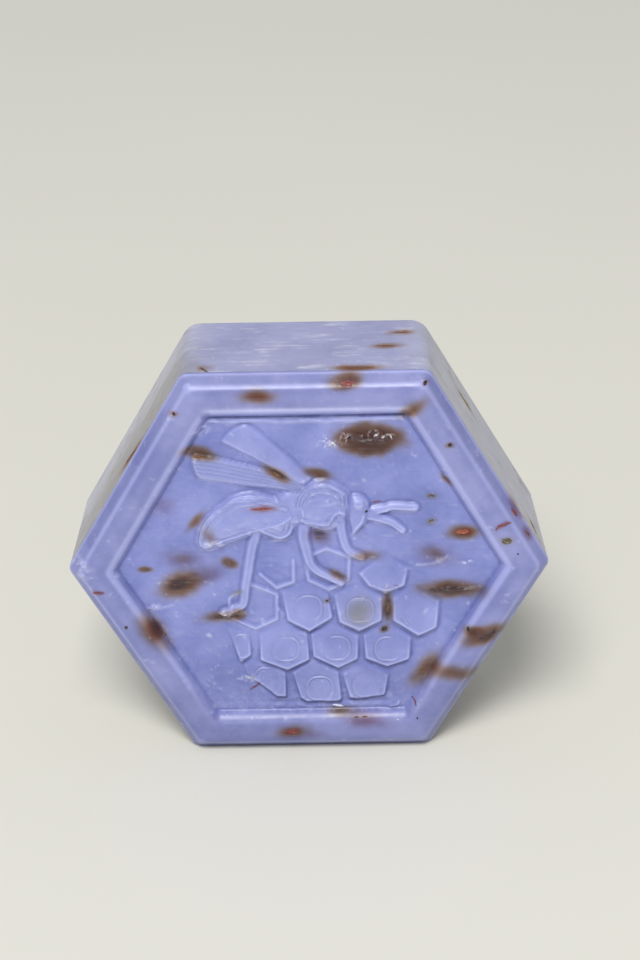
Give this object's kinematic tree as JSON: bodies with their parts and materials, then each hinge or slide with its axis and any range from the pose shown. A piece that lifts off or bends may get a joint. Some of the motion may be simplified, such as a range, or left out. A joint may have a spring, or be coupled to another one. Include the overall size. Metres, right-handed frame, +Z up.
{
  "type": "soap bar",
  "caption": "Hexagonal bar of cast soap with a raised bevelled rim, a bee-on-honeycomb relief in its sunken front and dried petals set in it.",
  "frame": {"origin": "middle of the box around the bar, at the floor it stands on", "axes": "+X across the corners of the hexagon, to the right as the front is looked at; +Y from the patterned front to the flat back; +Z up, from the lower wall that it stands on"},
  "size_m": [0.0794, 0.0289, 0.0693],
  "materials": {
    "soap": "waxy, slightly translucent, satin",
    "soap_crumb": "matt",
    "dried_bud": "matt, shrivelled",
    "dried_petal_brown": "matt, dry",
    "dried_petal_red": "matt, dry",
    "dried_leaf": "matt, dry",
    "dark_seed": "matt"
  },
  "bodies": {
    "root": {"bud_bee_foot": "dried_bud", "bud_left": "dried_bud", "bud_long_right": "dried_bud", "bud_right": "dried_bud", "bud_rim_lower_right": "dried_bud", "bud_top_right": "dried_bud", "buried_bud_left": "dried_bud", "buried_bud_right": "dried_bud", "buried_bud_rim_lower_right": "dried_bud", "buried_petal_rim_top_left": "dried_petal_red", "fibre_comb_left": "dried_petal_red", "fibre_rim_left": "dried_petal_red", "fibre_rim_lower": "dried_petal_brown", "fibre_rim_right": "dried_petal_red", "flake_bee_leg": "dried_leaf", "flake_panel_left": "dried_leaf", "flake_right_lower": "dried_leaf", "flake_right_upper": "dried_leaf", "flake_rim_left": "dark_seed", "flake_rim_right": "dried_leaf", "flake_wall_top": "dried_leaf", "flake_white": "soap_crumb", "petal_abdomen": "dried_petal_red", "petal_antenna": "dried_petal_red", "petal_between_wings": "dried_petal_brown", "petal_cell_gap": "dried_petal_brown", "petal_cell_top": "dried_petal_red", "petal_edge_corner": "dried_petal_brown", "petal_edge_right": "dried_petal_red", "petal_panel_bottom": "dried_petal_brown", "petal_panel_left": "dried_petal_brown", "petal_panel_right": "dried_petal_red", "petal_rim_bottom": "dried_petal_red", "petal_rim_corner": "dried_petal_brown", "petal_rim_inner_right": "dried_petal_brown", "petal_rim_top": "dried_petal_red", "petal_under_thorax": "dried_petal_brown", "petal_wall_lower_left": "dried_petal_brown", "petal_wall_lower_right_back": "dried_petal_brown", "petal_wall_lower_right_middle": "dried_petal_brown", "petal_wall_top_back": "dried_petal_brown", "petal_wall_top_front": "dried_petal_brown", "petal_wall_top_middle": "dried_petal_brown", "petal_wall_upper_left": "dried_petal_brown", "petal_wall_upper_right_back": "dried_petal_brown", "petal_wall_upper_right_front": "dried_petal_brown", "petal_wing_root": "dried_petal_brown", "petal_wing_tip": "dried_petal_brown", "seed_cell": "dark_seed", "seed_eye": "dark_seed", "seed_panel_lower_right": "dark_seed", "seed_rim_bottom_right": "dark_seed", "seed_rim_lower_right": "dark_seed", "seed_rim_right": "dark_seed", "seed_rim_top_right": "dark_seed", "seed_rim_upper_left": "dark_seed", "seed_rim_upper_right": "dark_seed", "soap_body": "soap"}
  },
  "joints": []
}
